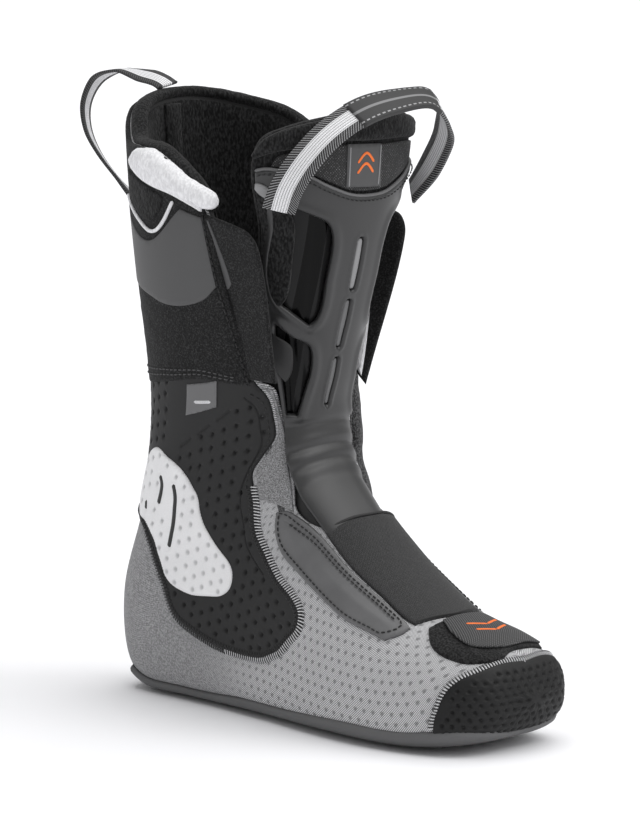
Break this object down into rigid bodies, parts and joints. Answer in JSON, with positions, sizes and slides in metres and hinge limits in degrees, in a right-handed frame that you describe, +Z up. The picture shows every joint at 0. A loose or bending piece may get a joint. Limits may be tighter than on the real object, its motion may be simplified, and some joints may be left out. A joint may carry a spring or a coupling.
{
  "type": "ski boot liner",
  "caption": "Removable inner boot of an alpine ski boot: foam sock with open throat, hinged tongue, cuff flaps, pull loops and toe closure.",
  "frame": {"origin": "middle of the bounding box on the ground plane that the tread rests on", "axes": "+X to the toe, +Y to the inner (medial) side of this right foot, +Z up the cuff"},
  "size_m": [0.3377, 0.1263, 0.3465],
  "materials": {
    "foam": "closed-cell foam laminated with cloth",
    "grey_mesh": "light grey woven mesh with dark dots",
    "sole_rubber": "matt grey moulded sole",
    "moulded_eva": "matt black moulded foam with dimples",
    "white_gel": "matt white dimpled pad",
    "brushed_cloth": "black brushed loop cloth",
    "smooth_grey": "smooth dark grey coated cloth",
    "black_plush": "black plush pile",
    "white_plush": "white plush pile",
    "grey_felt": "heathered grey felt",
    "grey_leather": "satin grey synthetic leather, stitched",
    "neoprene": "dark grey stretch cloth",
    "shield_plastic": "satin dark grey flexible plastic",
    "gloss_black": "gloss black",
    "silver_trim": "silver grey satin",
    "webbing": "black webbing with white middle ribs",
    "insole_board": "pressed fibre board",
    "footbed_foam": "grey foam footbed with cloth top",
    "counter_plastic": "formed plastic sheet"
  },
  "bodies": {
    "liner": {"body_foam": "foam", "upper_mesh": "grey_mesh", "insole_board": "insole_board", "footbed": "footbed_foam", "heel_counter": "counter_plastic", "cuff_lining": "black_plush", "outsole": "sole_rubber", "toe_cap": "moulded_eva", "side_panel_lateral": "moulded_eva", "side_panel_medial": "moulded_eva", "ankle_pad_lateral": "white_gel", "ankle_pad_medial": "white_gel", "felt_gusset_lateral": "grey_felt", "felt_gusset_medial": "grey_felt", "instep_leather_lateral": "grey_leather", "instep_leather_medial": "grey_leather", "instep_band": "neoprene", "toe_pad": "black_plush", "tongue_anchor": "foam", "cuff_wrap": "brushed_cloth", "cuff_panel_lateral": "smooth_grey", "cuff_panel_medial": "smooth_grey", "chevron_lateral": "white_plush", "chevron_medial": "white_plush", "chevron_fill_lateral": "black_plush", "chevron_fill_medial": "black_plush", "collar_lateral": "white_plush", "collar_medial": "white_plush", "size_tag": "smooth_grey", "rear_loop_anchor": "webbing", "rear_loop_tail": "webbing"},
    "tongue": {"tongue_pad": "black_plush", "tongue_shield": "shield_plastic", "slot_insert_top": "silver_trim", "slot_insert_middle": "silver_trim", "slot_insert_low": "silver_trim", "upper_window_lateral": "gloss_black", "upper_window_medial": "gloss_black", "lower_window_lateral": "gloss_black", "lower_window_medial": "gloss_black", "tongue_mesh": "grey_mesh", "tongue_collar": "black_plush", "tongue_label": "smooth_grey", "lace_hook": "silver_trim", "tongue_blade": "shield_plastic"},
    "tongue_pull": {"tongue_loop": "webbing", "loop_sleeve": "grey_leather"},
    "rear_pull": {"rear_loop": "webbing"},
    "lateral_flap": {"flap_lateral": "brushed_cloth", "flap_plush_lateral": "white_plush"},
    "medial_flap": {"flap_medial": "brushed_cloth", "flap_plush_medial": "white_plush"},
    "toe_closure": {"toe_tab": "neoprene"}
  },
  "joints": [
    {"name": "tongue_tilt", "type": "hinge", "parent": "liner", "child": "tongue", "pos_m": [0.04811, 0.005, 0.11776], "axis": [0, 1, 0], "range_deg": [0, 32], "stiffness_Nm_per_rad": 0.6},
    {"name": "tongue_loop_swing", "type": "hinge", "parent": "tongue", "child": "tongue_pull", "pos_m": [0.0368, 0.0035, 0.2833], "axis": [0, 1, 0], "range_deg": [0, 55], "stiffness_Nm_per_rad": 0.03},
    {"name": "rear_loop_swing", "type": "hinge", "parent": "liner", "child": "rear_pull", "pos_m": [-0.1087, 0, 0.2648], "axis": [0.147, 0, 0.9891], "range_deg": [-25, 25], "stiffness_Nm_per_rad": 0.03},
    {"name": "lateral_flap_fold", "type": "hinge", "parent": "liner", "child": "lateral_flap", "pos_m": [0.00495, -0.03775, 0.18636], "axis": [0.1405, 0.2231, -0.9646], "range_deg": [0, 60], "stiffness_Nm_per_rad": 0.03},
    {"name": "medial_flap_fold", "type": "hinge", "parent": "liner", "child": "medial_flap", "pos_m": [0.0048, 0.04265, 0.18654], "axis": [-0.1425, 0.1743, 0.9743], "range_deg": [0, 60], "stiffness_Nm_per_rad": 0.03},
    {"name": "toe_tab_peel", "type": "hinge", "parent": "liner", "child": "toe_closure", "pos_m": [0.12042, 0.005, 0.06841], "axis": [0, -1, 0], "range_deg": [0, 60], "stiffness_Nm_per_rad": 0.02}
  ]
}
